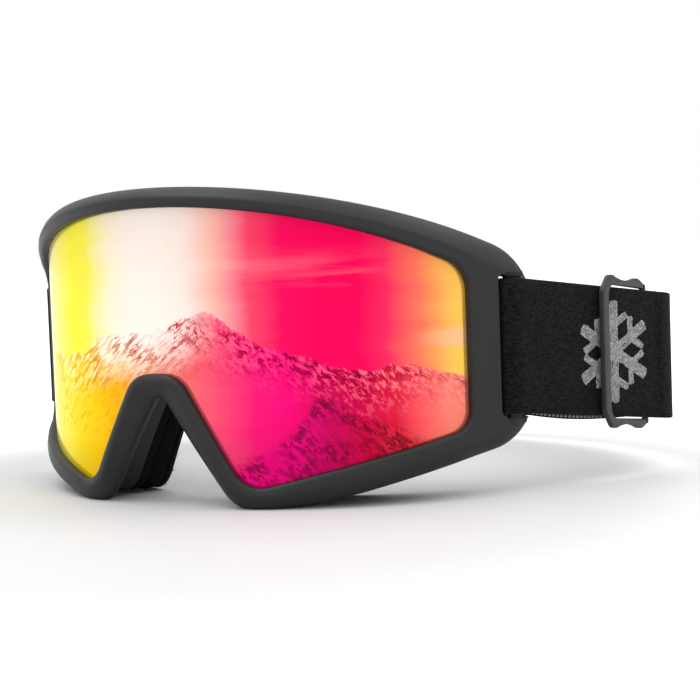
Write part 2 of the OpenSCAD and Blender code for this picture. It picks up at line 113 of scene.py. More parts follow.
# ---- outlines
class Outline:
    """Rounded outline, the same on both sides: the right half's corners from the notch's top to the
    side, their radii with the upper side corner's last, and the crown's height and radius."""

    def __init__(self, corners, radii, crown):
        self.corners = np.array(corners, float)
        self.radii = np.array(radii, float)
        self.crown = np.array(crown, float)

    def crown_z(self, u):
        return self.crown[0] - self.crown[1] + np.sqrt(self.crown[1] ** 2 - u * u)

    def high_corner(self):
        u = self.corners[3][0]
        return np.array([u, self.crown_z(u)])

    def grow(self, d):
        """The outline with its edge moved outwards by d."""
        v = [np.array([0, self.corners[0][1]]), *self.corners, self.high_corner()]
        moved = [miter(v[i - 1], v[i], v[i + 1], d) for i in range(1, 5)]
        return Outline(moved, self.radii + np.array([-1, 1, 0, 1, 1]) * d, self.crown + d)

    def mix(self, other, f):
        pairs = ((self.corners, other.corners), (self.radii, other.radii), (self.crown, other.crown))
        return Outline(*(a * (1 - f) + b * f for a, b in pairs))

    def half(self):
        """Points from the middle of the notch to the middle of the crown."""
        reach = self.corners[3][0] * CROWN_SHARE
        v = [
            np.array([0, self.corners[0][1]]),
            *self.corners,
            self.high_corner(),
            np.array([reach, self.crown_z(reach)]),
        ]
        arcs = [rounded(v[i - 1], v[i], v[i + 1], self.radii[i - 1]) for i in range(1, 6)]
        points = [v[0]]
        here = v[0]
        for arc, steps in zip(arcs, EDGE_STEPS):
            points += [here + (arc[0] - here) * i / steps for i in range(1, steps)]
            points += arc
            here = arc[-1]
        points += [here + (v[6] - here) * i / EDGE_STEPS[5] for i in range(1, EDGE_STEPS[5])]
        for u in np.linspace(reach, 0, CROWN_STEPS + 1):
            points.append(np.array([u, self.crown_z(u)]))
        return np.array(points)

    def whole(self):
        right = self.half()
        return np.concatenate([right, right[-2:0:-1] * [-1, 1]])


ARC_STEPS = 14
EDGE_STEPS = (3, 14, 14, 16, 18, 3)
CROWN_STEPS = 56
CROWN_SHARE = 0.84


def unit(v):
    """A vector, or each row of several, brought to length 1."""
    return v / np.linalg.norm(v, axis=-1, keepdims=True)


def heading(angle):
    return np.array([math.cos(angle), math.sin(angle)])


def miter(a, b, c, d):
    """Corner b between a and c, moved outwards by d."""
    n1, n2 = (np.array([e[1], -e[0]]) for e in (unit(b - a), unit(c - b)))
    return b + (n1 + n2) * d / (1 + n1 @ n2)


def rounded(a, b, c, r):
    """Points of the arc of radius r that rounds corner b."""
    ua, uc = unit(a - b), unit(c - b)
    half = math.acos(ua @ uc) / 2
    centre = b + unit(ua + uc) * r / math.sin(half)
    p, q = (b + side * r / math.tan(half) - centre for side in (ua, uc))
    start = math.atan2(p[1], p[0])
    turn = (math.atan2(q[1], q[0]) - start + 3 * math.pi) % (2 * math.pi) - math.pi
    angles = [start + turn * i / ARC_STEPS for i in range(ARC_STEPS + 1)]
    return [centre + r * heading(t) for t in angles]


LENS_EDGE = Outline([[7.7, 38.9], [28, 4.8], [60, 12.3], [94.5, 20.5]],
                    [9.5, 9.5, 40, 6.5, 10], [87.2, 225])
RIDGE = Outline([[6.2, 36.2], [25.4, 1.4], [60, 6.9], [111, 19.2]], [8, 13, 40, 13, 14], [90.3, 240])
SILHOUETTE = Outline([[1.6, 31.6], [25.4, -2.6], [60, 3.2], [116.3, 16.2]],
                     [2.6, 14, 60, 17, 20], [93.2, 288])
WALL = Outline([[5, 33.9], [28.4, -0.5], [60, 6], [101.5, 15.5]], [6.8, 13.5, 40, 14, 14], [92.6, 262])
FOAM_FRONT = Outline([[5, 34.3], [28.4, 0], [60, 5.2], [101, 15.5]],
                     [6.8, 13.5, 40, 14, 14], [92, 262])
FOAM_BACK = Outline([[7, 33], [29, 0.3], [66, 0.3], [109, 15.5]], [8, 13.5, 40, 18, 18], [90, 262])


# ---- places
def flare(u):
    """How far the ears stand off the cylinder at distance u."""
    span = SILHOUETTE.corners[3][0] - FLARE_FROM
    return EAR_FLARE * (np.maximum(0, np.abs(u) - FLARE_FROM) / span) ** 1.5


def on_cylinder(u, z, r):
    angle = np.asarray(u) / LENS_R
    return np.stack(np.broadcast_arrays(r * np.sin(angle), AXIS_Y - r * np.cos(angle), z), -1)


ALONG = np.array([math.sin(STRAP_FLARE), math.cos(STRAP_FLARE)])
ACROSS = np.array([math.cos(STRAP_FLARE), -math.sin(STRAP_FLARE)])
BAR = on_cylinder(BAR_U, 0, BAR_CENTRE_R)[:2]


def arm_point(s, t):
    """A point of the strap's arm: s runs back along it from the bar, t outwards across it."""
    return BAR + np.multiply.outer(np.asarray(s, float), ALONG) + np.multiply.outer(
        np.asarray(t, float), ACROSS)


# ---- meshes
def make(name, points, faces, material, uv=None, sharp=38):
    """A piece from points in millimetres. uv gives each point's place on its unrolled surface."""
    mesh = bpy.data.meshes.new(name)
    mesh.from_pydata((np.asarray(points, float) * MM).tolist(), [], faces)
    if uv is not None:
        layer = mesh.uv_layers.new(name="unrolled")
        corner = np.zeros(len(mesh.loops), np.int32)
        mesh.loops.foreach_get("vertex_index", corner)
        layer.data.foreach_set("uv", np.asarray(uv, float)[corner].ravel())
    mesh.materials.append(material)
    obj = bpy.data.objects.new(name, mesh)
    bpy.context.scene.collection.objects.link(obj)
    finish_mesh(mesh, sharp)
    return obj


def stand_for(obj, node, body=None):
    """Hides the CAD node that a piece takes over, and attaches the piece to the body that it rides, if
    one is given.
    """
    if body:
        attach(obj, body)
    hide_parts(node)


def finish_mesh(mesh, sharp=38):
    """Points every face outwards, and shades it smooth between sharp edges."""
    bm = bmesh.new()
    bm.from_mesh(mesh)
    bmesh.ops.recalc_face_normals(bm, faces=bm.faces)
    bm.to_mesh(mesh)
    bm.free()
    mesh.shade_smooth()
    mesh.set_sharp_from_angle(angle=math.radians(sharp))
    mesh.update()


def grid_faces(rows, columns, wrap_rows=True, wrap_columns=True):
    """Quads between the points of a grid, numbered row by row."""
    faces = []
    for j in range(rows if wrap_rows else rows - 1):
        k = (j + 1) % rows
        for i in range(columns if wrap_columns else columns - 1):
            n = (i + 1) % columns
            faces.append((j * columns + i, j * columns + n, k * columns + n, k * columns + i))
    return faces


def apply_modifiers(obj):
    graph = bpy.context.evaluated_depsgraph_get()
    mesh = bpy.data.meshes.new_from_object(obj.evaluated_get(graph))
    obj.modifiers.clear()
    old = obj.data
    obj.data = mesh
    mesh.name = obj.name
    bpy.data.meshes.remove(old)


def carve(obj, tool, operation="DIFFERENCE"):
    """Applies a Boolean with tool, which is then removed."""
    modifier = obj.modifiers.new("carve", "BOOLEAN")
    modifier.object = tool
    modifier.operation = operation
    modifier.solver = "MANIFOLD"
    apply_modifiers(obj)
    bpy.data.objects.remove(tool)


def flatten(obj):
    """Keeps the broad facets evenly lit, so that only the narrow edges between them look round."""
    modifier = obj.modifiers.new("flatten", "WEIGHTED_NORMAL")
    modifier.keep_sharp = True
    modifier.weight = 60
    apply_modifiers(obj)


def round_corner(a, b, c, reach):
    """Five points, or five rows of points, that round corner b off within reach."""
    ends = []
    for step in (a - b, c - b):
        length = np.linalg.norm(step[..., :3], axis=-1, keepdims=True)
        ends.append(b + step * np.minimum(reach / np.maximum(length, 1e-6), 0.45))
    return [ends[0] * (1 - f) ** 2 + b * 2 * f * (1 - f) + ends[1] * f * f
            for f in np.linspace(0, 1, 5)]


def loft(rings):
    """Grid of points round the rim, one row per step of the section. Each ring is an outline, its
    radius, the radius gained towards the sides, and how much of its corner is rounded off."""
    rows = []
    for outline, r, gain, _ in rings:
        flat = outline.whole()
        rows.append(np.column_stack([flat, np.full(len(flat), r), np.full(len(flat), gain)]))
    soft = []
    for j, row in enumerate(rows):
        reach = rings[j][3]
        after = rows[(j + 1) % len(rows)]
        soft += round_corner(rows[j - 1], row, after, reach) if reach else [row]
    return np.array(soft)


def placed(grid):
    """Points in space for a loft's grid."""
    u, z, r, gain = np.moveaxis(grid, -1, 0)
    return on_cylinder(u, z, r + gain * (u / 100) ** 2 + flare(u))


def closed_surface(name, points, material, sharp=38):
    """A piece from a loft's points, which close up both ways."""
    rows, columns = points.shape[:2]
    return make(name, points.reshape(-1, 3), grid_faces(rows, columns), material, sharp=sharp)


# ---- materials
class Nodes:
    """Short ways to add nodes to a material or a world."""

    def __init__(self, owner, shader):
        owner.use_nodes = True
        self.owner = owner
        self.tree = owner.node_tree
        self.shader = self.tree.nodes[shader]

    def set(self, node, inputs):
        for key, value in inputs.items():
            if isinstance(value, bpy.types.NodeSocket):
                self.tree.links.new(value, node.inputs[key])
            else:
                node.inputs[key].default_value = value

    def look(self, inputs):
        self.set(self.shader, inputs)

    def add(self, kind, inputs=None, **settings):
        node = self.tree.nodes.new("ShaderNode" + kind)
        for key, value in settings.items():
            setattr(node, key, value)
        self.set(node, inputs or {})
        return node

    def math(self, operation, a, b=0.0):
        return self.add("Math", {0: a, 1: b}, operation=operation).outputs[0]

    def plus(self, a, b):
        return self.math("ADD", a, b)

    def minus(self, a, b):
        return self.math("SUBTRACT", a, b)

    def times(self, a, b):
        return self.math("MULTIPLY", a, b)

    def near(self, value, middle, inner, outer, high=1.0, smooth=True):
        """high where value is within inner of middle, falling to nothing at outer."""
        gap = self.math("ABSOLUTE", self.minus(value, middle))
        return self.band(gap, inner, outer, high, 0.0, smooth)

    def place(self, size=1, uv=False, turn=0.0):
        """Texture coordinates in millimetres, in space or unrolled, turned and then divided by
        size."""
        if uv:
            source, unit_size = self.add("UVMap", uv_map="unrolled").outputs["UV"], 1
        else:
            source, unit_size = self.add("TexCoord").outputs["Object"], MM
        scale = [unit_size * s for s in np.broadcast_to(size, 3).tolist()]
        return self.add("Mapping", {"Vector": source, "Scale": scale, "Rotation": (0, 0, turn)},
                        vector_type="TEXTURE").outputs[0]

    def noise(self, scale=1.0, detail=2.0, roughness=0.5, distortion=0.0, at=None):
        inputs = {"Vector": at or self.place(), "Scale": scale, "Detail": detail,
                  "Roughness": roughness, "Distortion": distortion}
        return self.add("TexNoise", inputs).outputs["Fac"]

    def cells(self, scale):
        return self.add("TexVoronoi", {"Vector": self.place(), "Scale": scale}).outputs["Distance"]

    def band(self, value, low, high, to_low=0.0, to_high=1.0, smooth=False):
        """Maps low..high to to_low..to_high, and holds it outside that."""
        kind = "SMOOTHSTEP" if smooth else "LINEAR"
        return self.add("MapRange", {"Value": value, "From Min": low, "From Max": high,
                                     "To Min": to_low, "To Max": to_high},
                        interpolation_type=kind).outputs[0]

    def ramp(self, value, stops):
        node = self.add("ValToRGB", {0: value})
        ramp = node.color_ramp
        ramp.interpolation = "LINEAR"
        while len(ramp.elements) < len(stops):
            ramp.elements.new(1)
        for element, (position, color) in zip(ramp.elements, stops):
            element.position = position
            element.color = (*linear(color), 1)
        return node.outputs["Color"]

    def curve(self, value, points):
        node = self.add("FloatCurve", {"Value": value})
        curve = node.mapping.curves[0]
        while len(curve.points) < len(points):
            curve.points.new(0.5, 0.5)
        for point, (x, y) in zip(curve.points, points):
            point.location = (x, y)
            point.handle_type = "AUTO"
        node.mapping.update()
        return node.outputs[0]

    def mix(self, factor, a, b, blend="MIX"):
        inputs = {0: factor, 6: a, 7: b}
        return self.add("Mix", inputs, data_type="RGBA", blend_type=blend).outputs[2]

    def finish(self, inputs, height, depth, strength):
        """Sets the shader's inputs, adds a bump whose height of 0 to 1 stands for depth
        millimetres, and returns the material."""
        bump = self.add("Bump", {"Height": height, "Distance": depth * MM, "Strength": strength})
        self.look({**inputs, "Normal": bump.outputs[0]})
        return self.owner


def linear(color):
    """Linear light for a colour written as a hex string."""
    parts = [int(color[i:i + 2], 16) / 255 for i in (0, 2, 4)]
    return tuple(c / 12.92 if c <= 0.04045 else ((c + 0.055) / 1.055) ** 2.4 for c in parts)


def new_material(name, color, roughness, specular):
    material = bpy.data.materials.new(name)
    n = Nodes(material, "Principled BSDF")
    n.look({"Base Color": (*color, 1), "Roughness": roughness, "Specular IOR Level": specular})
    material.diffuse_color = (*color, 1)
    return n


def soft_touch():
    """Matte moulded TPU with a fine grain."""
    n = new_material("tpu_soft_touch", (0.012, 0.012, 0.0125), 0.46, 0.3)
    broad = n.noise(at=n.place(28))
    grain = n.noise(2.4, 3, 0.6)
    height = n.plus(grain, n.times(n.cells(3.2), 0.4))
    return n.finish({"Base Color": n.ramp(broad, [(0.3, "1a1a1b"), (0.7, "1f1f20")]),
                     "Roughness": n.band(grain, 0.3, 0.7, 0.4, 0.52)}, height, 0.035, 0.55)


# Colours and ridge lines of the painted reflection on the mirror lens, from its left end to its right
SKY = [
    (0.0, "eef7a0"), (0.125, "f5fbcb"), (0.2, "fbfcb6"), (0.25, "fcf981"), (0.3, "fcf54a"),
    (0.345, "fbef5a"), (0.4, "fdf0c9"), (0.45, "fef0e7"), (0.51, "fef0e7"), (0.555, "fce7de"),
    (0.6, "febead"), (0.635, "fe8090"), (0.655, "fe476a"), (0.7, "fd0b5e"), (0.75, "fe0259"),
    (0.81, "fe0259"), (0.85, "fd2a5e"), (0.9, "fe785b"), (0.955, "fec757"),
]
LAND = [
    (0.0, "eef27a"), (0.18, "f6f270"), (0.25, "fef25a"), (0.3, "fede01"), (0.36, "fccc01"),
    (0.41, "f4b40a"), (0.46, "f7a44a"), (0.51, "f28a6c"), (0.56, "f9686e"), (0.61, "fd4474"),
    (0.655, "f71874"), (0.7, "f80678"), (0.76, "cc0552"), (0.81, "cf0448"), (0.86, "dc1c40"),
    (0.9, "f8545e"), (0.95, "f2806a"),
]
SNOW = [
    (0.2, "fffbd8"), (0.45, "fffaf4"), (0.56, "ffc8c6"), (0.62, "ff6a94"), (0.7, "fe2a7c"),
    (0.9, "fe8c94"),
]
ROCK = [
    (0.0, "ccd66c"), (0.2, "d2ce44"), (0.3, "dca41c"), (0.38, "d07c22"), (0.45, "c86034"),
    (0.5, "ca4834"), (0.56, "c02a3e"), (0.63, "b00c38"), (0.7, "82042e"), (0.8, "760628"),
    (0.88, "a0182e"), (0.95, "b84438"),
]
FRONT_SNOW = [
    (0.55, "fb3a72"), (0.64, "fb0a86"), (0.71, "f4047e"), (0.76, "d00662"), (0.82, "d2043e"),
    (0.88, "e0303c"), (0.93, "f0585c"),
]
FRONT_ROCK = [(0.6, "98043e"), (0.75, "6c0432"), (0.85, "700620"), (0.93, "9c1c22")]
FAR_RIDGE = [
    (0.0, 0.44), (0.2, 0.44), (0.32, 0.445), (0.40, 0.50), (0.48, 0.512), (0.545, 0.545),
    (0.58, 0.567), (0.62, 0.53), (0.67, 0.47), (0.74, 0.43), (0.81, 0.385), (0.87, 0.395),
    (0.92, 0.385), (1.0, 0.33),
]
NEAR_RIDGE = [
    (0.0, 0.0), (0.55, 0.0), (0.62, 0.12), (0.68, 0.18), (0.73, 0.27), (0.755, 0.325),
    (0.79, 0.285), (0.86, 0.225), (0.93, 0.17), (1.0, 0.2),
]


def mirror_lens():
    """Polycarbonate with a red mirror coating; its colour is a painted reflection of a bright sky
    above snow-covered peaks.

    The picture is generic and is painted on the unrolled lens, so it stays put from every side.
    """
    n = new_material("mirror_coating_painted_reflection", (0.9, 0.02, 0.1), 0.14, 0.08)
    uv = n.add("SeparateXYZ", {0: n.add("UVMap", uv_map="unrolled").outputs["UV"]})
    across = n.plus(n.math("DIVIDE", uv.outputs[0], 200), 0.5)
    height = n.math("DIVIDE", uv.outputs[1], 100)

    def patches(length, tall, detail, roughness, distortion=0.0, turn=0.0):
        """Noise whose patches are about length by tall millimetres."""
        place = n.place((length, tall, 1), uv=True, turn=turn)
        return n.noise(1, detail, roughness, distortion, place)

    # colours of the painted reflection along the lens, with wavering borders
    haze = patches(70, 8, 3, 0.55, 0.3)
    at = n.plus(across, n.times(n.minus(haze, 0.5), 0.045))
    sky = n.ramp(at, SKY)
    land = n.ramp(at, LAND)

    # two ridges: how far each point lies below them
    jag = n.times(n.minus(patches(6, 6, 7, 0.62), 0.5), 0.07)
    depth = n.minus(n.plus(n.curve(across, FAR_RIDGE), jag), height)
    near_depth = n.minus(n.plus(n.curve(across, NEAR_RIDGE), jag), height)

    # snow and rock on the far ridge
    gullies = patches(5, 1.1, 7, 0.64, 0.35, turn=0.6)
    crags = patches(2.9, 1.4, 8, 0.7, 0.4, turn=-0.85)
    broad = patches(13, 9, 3, 0.5)
    snow = n.times(n.near(across, 0.475, 0.05, 0.14), n.band(depth, 0.02, 0.15, 0.95, 0.0))
    land = n.mix(snow, land, (1.0, 0.93, 0.86, 1))
    strokes = n.mix(n.band(across, 0.57, 0.63), gullies, crags)
    snow_fields = n.times(n.band(strokes, 0.49, 0.44), n.band(depth, 0.0, 0.15, 0.95, 0.0))
    land = n.mix(snow_fields, land, n.ramp(across, SNOW))
    fall = n.math("DIVIDE", depth, n.band(across, 0.6, 0.68, 0.2, 0.1))
    slope = n.times(n.band(fall, 0.35, 1.1, 1.0, 0.0), n.band(broad, 0.4, 0.55, 0.25, 1.0))
    lines = n.times(n.band(gullies, 0.5, 0.535), n.band(across, 0.6, 0.54, 0.0, 1.0))
    blots = n.times(n.band(crags, 0.52, 0.555), n.band(across, 0.5, 0.57, 0.15, 1.0))
    rocks = n.times(n.math("MAXIMUM", lines, blots), slope)
    land = n.mix(rocks, land, n.ramp(across, ROCK))
    ledge = n.times(n.near(height, 0.24, 0.02, 0.05, 0.6, smooth=False), n.band(across, 0.44, 0.4))
    ledge = n.times(n.band(gullies, 0.56, 0.6), ledge)
    land = n.mix(ledge, land, (*linear("e08a14"), 1))

    # the near ridge
    near_rocks = n.times(n.band(crags, 0.46, 0.51), n.band(near_depth, 0.0, 0.1, 0.95, 0.7))
    near_rocks = n.times(near_rocks, n.band(broad, 0.38, 0.54, 0.2, 1.0))
    front = n.mix(near_rocks, n.ramp(across, FRONT_SNOW), n.ramp(across, FRONT_ROCK))
    land = n.mix(n.band(near_depth, -0.006, 0.03), land, front)

    # clouds: a veil, wisps over the bright middle and a low bank
    veil = n.times(n.near(height, 0.68, 0.02, 0.08), n.band(across, 0.6, 0.66))
    veil = n.times(n.band(patches(60, 5, 4, 0.55, 0.3), 0.45, 0.75, 0.0, 0.22), veil)
    sky = n.mix(veil, sky, (1.0, 0.5, 0.5, 1))
    wisps = n.times(n.band(patches(14, 6, 5, 0.6, 0.6), 0.5, 0.72, 0.0, 0.3),
                    n.near(across, 0.49, 0.05, 0.1))
    sky = n.mix(wisps, sky, (0.98, 0.74, 0.6, 1))
    bank = n.times(n.band(across, 0.88, 0.96, smooth=True),
                   n.near(height, n.plus(jag, 0.47), 0.015, 0.04, 0.6))
    sky = n.mix(bank, sky, (1.0, 0.5, 0.33, 1))

    # the painted reflection: sky above the far ridge, land below it
    picture = n.mix(n.band(depth, -0.002, 0.005), sky, land)
    waves = n.noise(at=n.place(26))
    return n.finish({"Base Color": n.mix(1.0, picture, (0.84, 0.84, 0.84, 1), "MULTIPLY"),
                     "Metallic": 0.5, "Specular Tint": (1.0, 0.75, 0.2, 1)}, waves, 0.03, 0.25)


def clear_lens():
    """Clear inner lens with a slight tint and an anti-fog haze."""
    n = new_material("clear_lens", (0.93, 0.9, 0.9), 0.06, 0.5)
    haze = n.noise(detail=3, at=n.place(9))
    return n.finish({"Roughness": n.band(haze, 0.3, 0.8, 0.03, 0.12),
                     "Transmission Weight": 1.0, "IOR": 1.5}, haze, 0.01, 0.1)


def webbing():
    """Black knitted elastic: brick-like floats with heathered yarn and lengthwise ribs."""
    n = new_material("elastic_webbing", (0.006, 0.006, 0.0063), 0.8, 0.06)
    flat = n.place(uv=True)
    brick = n.add("TexBrick", {
        "Vector": flat, "Scale": 1.0, "Mortar Size": 0.09, "Mortar Smooth": 0.6, "Bias": 0.0,
        "Brick Width": 0.95, "Row Height": 0.46, "Color1": (0.003, 0.003, 0.0032, 1),
        "Color2": (0.016, 0.016, 0.0165, 1), "Mortar": (0.0015, 0.0015, 0.0015, 1)})
    heather = n.noise(1.9, 4, 0.7, at=flat)
    flecks = n.times(n.band(heather, 0.56, 0.72), 0.75)
    color = n.mix(flecks, brick.outputs["Color"], (0.034, 0.034, 0.035, 1))
    rib = n.add("TexWave", {"Vector": flat, "Scale": 0.55, "Distortion": 0.6, "Detail": 1.0,
                            "Detail Scale": 1.0}, bands_direction="Y").outputs["Fac"]
    yarn = n.minus(1.0, brick.outputs["Fac"])
    height = n.plus(n.times(yarn, 0.55), n.plus(n.times(rib, 0.2), n.times(heather, 0.5)))
    return n.finish({"Base Color": color, "Sheen Weight": 0.02, "Sheen Roughness": 0.5},
                    height, 0.16, 0.8)


def foam(name, low, high, pore, depth):
    """Foam with cut cells of about pore millimetres."""
    n = new_material(name, linear(high), 0.9, 0.06)
    cell = n.cells(1 / pore)
    rough = n.noise(0.35, 4, 0.6)
    tint = n.ramp(n.times(n.plus(cell, rough), 0.8), [(0.2, low), (0.9, high)])
    return n.finish({"Base Color": tint}, n.plus(cell, n.times(rough, 0.4)), depth, 0.9)


def fleece():
    """Brushed black fleece."""
    n = new_material("fleece", (0.005, 0.005, 0.0053), 0.95, 0.04)
    nap = n.noise(0.8, 6, 0.72, 0.8)
    clumps = n.noise(0.16, 3)
    stops = [(0.12, "060606"), (0.34, "111112"), (0.5, "1c1c1d")]
    return n.finish({"Base Color": n.ramp(n.times(nap, clumps), stops),
                     "Sheen Weight": 0.05, "Sheen Roughness": 0.6}, nap, 0.5, 0.9)


def pile():
    """Fibres that stand on the fleece, some lighter than others."""
    n = new_material("fleece_pile", (0.012, 0.012, 0.0125), 0.9, 0.1)
    stops = [(0.35, "08080a"), (0.7, "222224")]
    n.look({"Base Color": n.ramp(n.noise(0.7), stops), "Sheen Weight": 0.08})
    return n.owner


def slider_plastic():
    """Mid-grey moulded slider with a faint sparkle grain."""
    n = new_material("slider_acetal", (0.03, 0.03, 0.031), 0.42, 0.3)
    grain = n.noise(1.6, 4, 0.65)
    cloud = n.noise(detail=3, at=n.place(7))
    return n.finish({"Base Color": n.ramp(cloud, [(0.3, "222224"), (0.72, "2c2c2e")]),
                     "Roughness": n.band(grain, 0.3, 0.7, 0.34, 0.5)}, grain, 0.05, 0.5)


def thread(name, low, high):
    """Polyester embroidery thread; each stitch has its own shade."""
    n = new_material(name, linear(high), 0.5, 0.35)
    shade = n.add("Attribute", attribute_name="shade").outputs["Fac"]
    twist = n.noise(3.2, 3, 0.6)
    tone = n.plus(n.times(shade, 0.6), n.times(twist, 0.4))
    return n.finish({"Base Color": n.ramp(tone, [(0.15, low), (0.8, high)]),
                     "Sheen Weight": 0.2}, twist, 0.05, 0.5)


def silicone():
    """Grey printed silicone."""
    n = new_material("silicone_print", linear("6f6f70"), 0.42, 0.5)
    mottle = n.noise(0.9, 4, 0.6)
    tint = n.ramp(mottle, [(0.3, "58585a"), (0.7, "8a8a8b")])
    return n.finish({"Base Color": tint}, mottle, 0.06, 0.5)


FRAME_TPU = soft_touch()
MIRROR = mirror_lens()
CLEAR = clear_lens()
WEBBING = webbing()
FOAM_FIRM = foam("foam_firm", "0a0a0b", "171718", 0.5, 0.08)
FOAM_SOFT = foam("foam_soft", "08080a", "151516", 0.8, 0.2)
FLEECE = fleece()
PILE = pile()
VENT_FOAM = foam("vent_foam", "101011", "2c2c2d", 1.3, 0.5)
GASKET_FOAM = foam("gasket_foam", "161617", "29292a", 0.6, 0.1)
SLIDER = slider_plastic()
EMBROIDERY = thread("embroidery_thread", "606062", "9c9c9d")
SEWING = thread("sewing_thread", "161617", "38383a")
SILICONE = silicone()


# ---- frame
def tube(rows):
    """Closed solid from equal rings of points, each one a row."""
    m, n = len(rows), len(rows[0])
    faces = grid_faces(m, n, wrap_rows=False)
    return np.concatenate(rows), faces + [tuple(range(n)), tuple(range((m - 1) * n, m * n))]


def slot_outline():
    """The ear's slot, which runs out past the ear's rear edge; its upper edge falls that way."""
    (low, high), length, radii = SLOT_Z, 30, (2.8, 0.4, 0.4, 1.6)
    corners = ((0, low), (length, low), (length, high), (0, high))
    signs = ((1, 1), (-1, 1), (-1, -1), (1, -1))
    points = []
    for k, ((u, z), (su, sz), r) in enumerate(zip(corners, signs, radii)):
        for a in math.pi + (k + np.linspace(0, 1, 8)) * math.pi / 2:
            points.append((u + su * r + r * math.cos(a), z + sz * r + r * math.sin(a)))
    slot = np.array(points)
    upper = slot[:, 1] > (low + high) / 2
    slot[upper, 1] -= SLOT_FALL * slot[upper, 0]
    return slot + [SLOT_FRONT_U, 0]


def lathe(profile, n):
    """Solid of revolution about a vertical line: profile gives height and radius."""
    angles = np.linspace(0, 2 * math.pi, n, endpoint=False)
    return tube([np.column_stack([r * np.cos(angles), r * np.sin(angles), np.full(n, z)])
                 for z, r in profile])


def merged(blocks):
    """Points and faces of several separate blocks in one mesh."""
    points, faces = [], []
    for block_points, block_faces in blocks:
        base = sum(len(p) for p in points)
        points.append(np.asarray(block_points, float))
        faces += [tuple(i + base for i in face) for face in block_faces]
    return np.concatenate(points), faces


TOP_VENT_U = range(-45, 46, 15)
TOP_VENT_Z = (72, 100)
CHEEK_VENT_U = (46, 60, 74)
CHEEK_VENT_Z = (-5, 22)


def vent_block(u, z0, z1):
    """Stadium-shaped cutter that goes up or down through the rim's wall."""
    length, depth = 11, 3
    a = u / LENS_R
    r = LIP_BACK_R - 0.3 - depth / 2
    along, deep = [], []
    for sign in (1, -1):
        for t in np.linspace(-math.pi / 2, math.pi / 2, 9):
            along.append(sign * ((length - depth) / 2 + depth / 2 * math.cos(t)))
            deep.append(sign * depth / 2 * math.sin(t))
    along, deep = np.array(along), np.array(deep)
    x = r * math.sin(a) + along * math.cos(a) + deep * math.sin(a)
    y = AXIS_Y - r * math.cos(a) + along * math.sin(a) - deep * math.cos(a)
    return tube([np.column_stack([x, y, np.full(len(x), z)]) for z in (z0, z1)])


def bar_block(side):
    """Outrigger bar, flared where it runs into the ears."""
    sunk = 1.2
    z0, z1 = SLOT_Z[0] - sunk, SLOT_Z[1] - SLOT_FALL * (BAR_U - SLOT_FRONT_U) + sunk
    flare_steps = ((0, 0.9), (1.2, 0.5), (1.7, 0.12), (2.4, 0))
    profile = [(z0 + d, BAR_R + w) for d, w in flare_steps]
    profile += [(z1 - d, BAR_R + w) for d, w in flare_steps[::-1]]
    points, faces = lathe(profile, 40)
    return (points + [*BAR, 0]) * [side, 1, 1], faces


def build_frame():
    groove = LENS_EDGE.grow(GROOVE_D)
    lip = LENS_EDGE.grow(-1.6)
    pocket = WALL.grow(-WALL_T)
    inner_edge = WALL.grow(-FLANGE_W)
    rings = [
        (LENS_EDGE, LENS_R + 0.12, 0, 0),
        (LENS_EDGE, LENS_R + 2.1, 0, 0.7),
        (LENS_EDGE.grow(0.9), FRONT_R - 0.35, 0, 0.8),
        (LENS_EDGE.grow(1).mix(RIDGE, 0.5), FRONT_R + 0.05, 0, 0),
        (RIDGE, FRONT_R - 0.1, 0, 0.8),
        (RIDGE.mix(SILHOUETTE, 0.5), FRONT_R - 1.3, 0, 0),
        (SILHOUETTE.grow(-0.5), FRONT_R - 2.8, 0, 1.0),
        (SILHOUETTE, FRONT_R - 3.9, 0, 1.0),
        (SILHOUETTE.grow(-0.4), RIM_BACK_R + 0.4, 0, 0.6),
        (WALL, RIM_BACK_R - 0.4, 0, 0.6),
        (WALL, FLANGE_R, WALL_GAIN, 0.5),
        (inner_edge, FLANGE_R, WALL_GAIN, 0.5),
        (inner_edge, FLANGE_R + FLANGE_T, WALL_GAIN, 0.5),
        (pocket, FLANGE_R + FLANGE_T, WALL_GAIN, 0.6),
        (pocket, LIP_BACK_R, 0, 0.4),
        (lip, LIP_BACK_R, 0, 0.6),
        (lip, LIP_BACK_R + LIP_T, 0, 0.4),
        (groove, LIP_BACK_R + LIP_T, 0, 0),
        (groove, LENS_R + 0.12, 0, 0),
    ]
    points = placed(loft(rings))
    points[..., 2] = np.maximum(points[..., 2], 0)
    body = closed_surface("frame_shell", points, FRAME_TPU)

    blocks = []
    for side in (-1, 1):
        flat = slot_outline() * [side, 1]
        blocks.append(tube([on_cylinder(flat[:, 0], flat[:, 1], r) for r in (60, 120)]))
    blocks += [vent_block(u, *TOP_VENT_Z) for u in TOP_VENT_U]
    blocks += [vent_block(side * u, *CHEEK_VENT_Z) for side in (-1, 1) for u in CHEEK_VENT_U]
    carve(body, make("frame_cutters", *merged(blocks), FRAME_TPU))
    bars = merged([bar_block(side) for side in (1, -1)])
    carve(body, make("frame_bars", *bars, FRAME_TPU), "UNION")
    finish_mesh(body.data, 32)
    flatten(body)
    stand_for(body, "frame", "goggle_body")


build_frame()


